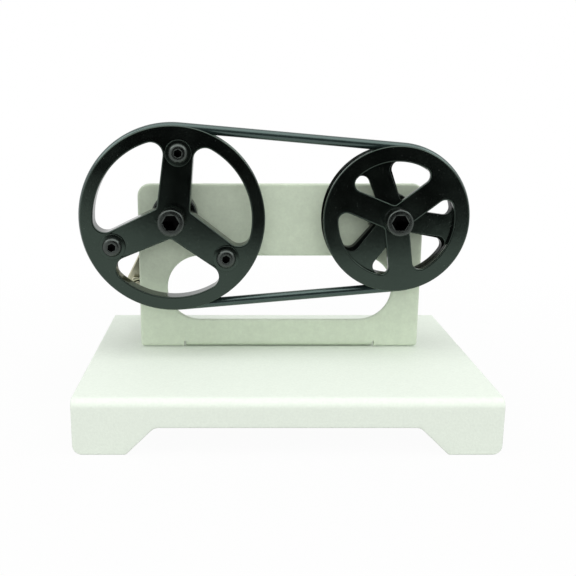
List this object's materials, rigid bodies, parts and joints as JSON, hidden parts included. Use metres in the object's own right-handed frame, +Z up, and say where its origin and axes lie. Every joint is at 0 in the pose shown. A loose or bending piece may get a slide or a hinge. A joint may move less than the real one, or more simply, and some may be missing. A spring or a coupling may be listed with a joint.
{
  "type": "hand-cranked belt drive stand",
  "caption": "Desktop belt drive: a round belt joins a large and a small spoked pulley on an upright plate, on a folded sheet base, with a hand crank behind.",
  "frame": {"origin": "under the middle of the whole object's box, on the surface that it stands on", "axes": "+X along the stand from the large pulley to the small one, +Y to the back, +Z up"},
  "size_m": [0.1534, 0.1134, 0.1124],
  "materials": {
    "white_powder_coat": "satin",
    "grey_green_paint": "satin",
    "black_enamel": "semi-gloss",
    "black_rubber": "satin",
    "black_steel": "satin",
    "bright_steel": "satin",
    "bronze": "satin",
    "black_plastic": "matte"
  },
  "bodies": {
    "stand": {"base_channel": "white_powder_coat", "upright_plate": "grey_green_paint", "foot_screw_1": "black_steel", "foot_screw_2": "black_steel", "foot_washer_1": "bright_steel", "foot_washer_2": "bright_steel", "foot_nut_1": "bright_steel", "foot_nut_2": "bright_steel", "drive_bearing_housing": "black_steel", "drive_bush": "bronze", "drive_housing_nut": "bright_steel", "driven_bearing_housing": "black_steel", "driven_bush": "bronze", "driven_housing_nut": "bright_steel", "belt": "black_rubber"},
    "drive_line": {"drive_shaft": "bright_steel", "drive_spacer": "bright_steel", "drive_pulley_front": "black_enamel", "drive_pulley_middle": "black_enamel", "drive_pulley_rear": "black_enamel", "drive_lock_washer": "black_steel", "drive_hub_screw": "black_steel", "pulley_screw_1": "black_steel", "pulley_screw_2": "black_steel", "pulley_screw_3": "black_steel", "pulley_nut_1": "black_steel", "pulley_nut_2": "black_steel", "pulley_nut_3": "black_steel", "crank_arm": "bright_steel", "crank_washer": "bright_steel", "crank_screw": "black_steel", "crank_pin": "bright_steel", "crank_pin_nut": "bright_steel"},
    "grip": {"crank_grip": "black_plastic"},
    "driven_line": {"driven_shaft": "bright_steel", "driven_spacer": "bright_steel", "driven_pulley_front": "black_enamel", "driven_pulley_middle": "black_enamel", "driven_pulley_rear": "black_enamel", "driven_lock_washer": "black_steel", "driven_hub_screw": "black_steel", "driven_collar": "black_steel", "collar_grub_screw": "black_steel"}
  },
  "joints": [
    {"name": "drive_spin", "type": "hinge", "parent": "stand", "child": "drive_line", "pos_m": [-0.04027, 0.00405, 0.076], "axis": [0, -1, 0], "continuous": true},
    {"name": "driven_spin", "type": "hinge", "parent": "stand", "child": "driven_line", "pos_m": [0.04473, 0.00405, 0.076], "axis": [0, -1, 0], "continuous": true},
    {"name": "grip_spin", "type": "hinge", "parent": "drive_line", "child": "grip", "pos_m": [-0.05616, 0.03, 0.04482], "axis": [0, -1, 0], "continuous": true}
  ],
  "couplings": [
    {"joint": "driven_spin", "follows": "drive_spin", "ratio": 1.2757}
  ]
}
